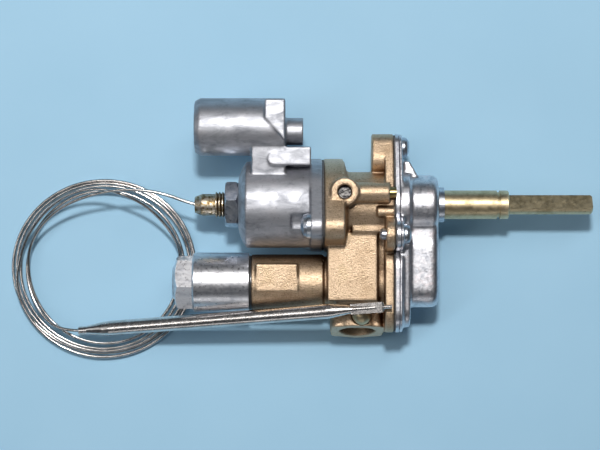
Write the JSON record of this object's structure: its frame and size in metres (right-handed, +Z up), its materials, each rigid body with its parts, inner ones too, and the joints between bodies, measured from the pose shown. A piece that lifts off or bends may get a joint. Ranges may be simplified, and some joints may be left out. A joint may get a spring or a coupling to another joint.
{
  "type": "gas oven thermostat valve",
  "caption": "Brass and cast-aluminium gas oven thermostat valve with flame-failure unit, push-and-turn D-spindle, coiled capillary and sensing phial.",
  "frame": {"origin": "middle of the footprint of the valve without its capillary and phial, on the surface it lies on", "axes": "+X along the spindle towards its tip, +Y towards the gas outlet branch, +Z up from the surface"},
  "size_m": [0.184, 0.0826, 0.0364],
  "materials": {
    "cast_brass": "matte",
    "machined_brass": "satin",
    "cast_aluminium": "satin",
    "zinc_steel": "gloss",
    "bright_plate": "gloss",
    "stainless": "satin",
    "magnet_iron": "matte",
    "copper_winding": "satin",
    "rubber": "matte",
    "gasket_fibre": "matte"
  },
  "bodies": {
    "root": {"backing_plate": "zinc_steel", "bellows_capsule": "stainless", "capillary_coil": "stainless", "capillary_crest": "stainless", "capillary_gland": "machined_brass", "capillary_lead": "stainless", "capillary_tail": "stainless", "capsule_thrust_button": "machined_brass", "contact_button": "machined_brass", "contact_insulator": "gasket_fibre", "cover_gasket": "gasket_fibre", "cover_screws": "zinc_steel", "flame_spring": "stainless", "front_cover": "zinc_steel", "gallery_plug": "machined_brass", "gasway_ball": "machined_brass", "gland_lock_nut": "zinc_steel", "housing_gasket": "gasket_fibre", "housing_screws": "zinc_steel", "inlet_filter": "stainless", "inlet_o_ring": "rubber", "magnet_coil": "copper_winding", "magnet_seal_washer": "rubber", "magnet_shell": "zinc_steel", "magnet_unit_nut": "bright_plate", "magnet_yoke": "magnet_iron", "plug_retainer": "zinc_steel", "return_spring": "stainless", "rod_o_ring": "rubber", "sensing_phial": "stainless", "spindle_bush": "zinc_steel", "stem_o_ring": "rubber", "stem_retainer": "zinc_steel", "thermostat_housing": "cast_aluminium", "thermostat_spring": "stainless", "valve_body": "cast_brass", "valve_seat_ring": "machined_brass"},
    "tap": {"tap_plug": "machined_brass", "adjusting_stem": "machined_brass"},
    "knob_spindle": {"spindle": "machined_brass"},
    "push_plate": {"push_plate": "zinc_steel"},
    "flame_valve": {"flame_push_rod": "stainless", "flame_valve_disc": "cast_aluminium", "flame_valve_rubber": "rubber", "magnet_armature": "magnet_iron"},
    "thermostat_valve": {"thermostat_valve_disc": "machined_brass"},
    "bypass": {"bypass_screw": "machined_brass", "bypass_o_ring": "rubber"}
  },
  "joints": [
    {"name": "knob_turn", "type": "hinge", "parent": "root", "child": "tap", "pos_m": [-0.005, 0.0046, 0.017], "axis": [1, 0, 0], "range_deg": [0, 270]},
    {"name": "knob_push", "type": "slide", "parent": "tap", "child": "knob_spindle", "axis": [-1, 0, 0], "range_m": [0, 0.004], "stiffness_N_per_m": 900, "springref_m": -0.004},
    {"name": "plate_push", "type": "slide", "parent": "root", "child": "push_plate", "axis": [-1, 0, 0], "range_m": [0, 0.004], "deforming": ["return_spring"]},
    {"name": "flame_valve_push", "type": "slide", "parent": "root", "child": "flame_valve", "axis": [-1, 0, 0], "range_m": [0, 0.004], "deforming": ["flame_spring"]},
    {"name": "thermostat_lift", "type": "slide", "parent": "root", "child": "thermostat_valve", "axis": [-1, 0, 0], "range_m": [0, 0.00125], "deforming": ["thermostat_spring"]},
    {"name": "bypass_turn", "type": "hinge", "parent": "root", "child": "bypass", "pos_m": [-0.012, 0.0084, 0.026], "axis": [0, 0, 1], "range_deg": [-180, 180]}
  ],
  "couplings": [
    {"joint": "plate_push", "follows": "knob_push", "ratio": 1},
    {"joint": "flame_valve_push", "follows": "knob_push", "ratio": 1},
    {"joint": "thermostat_lift", "follows": "knob_turn", "m_per_rad": 0.00025465}
  ]
}
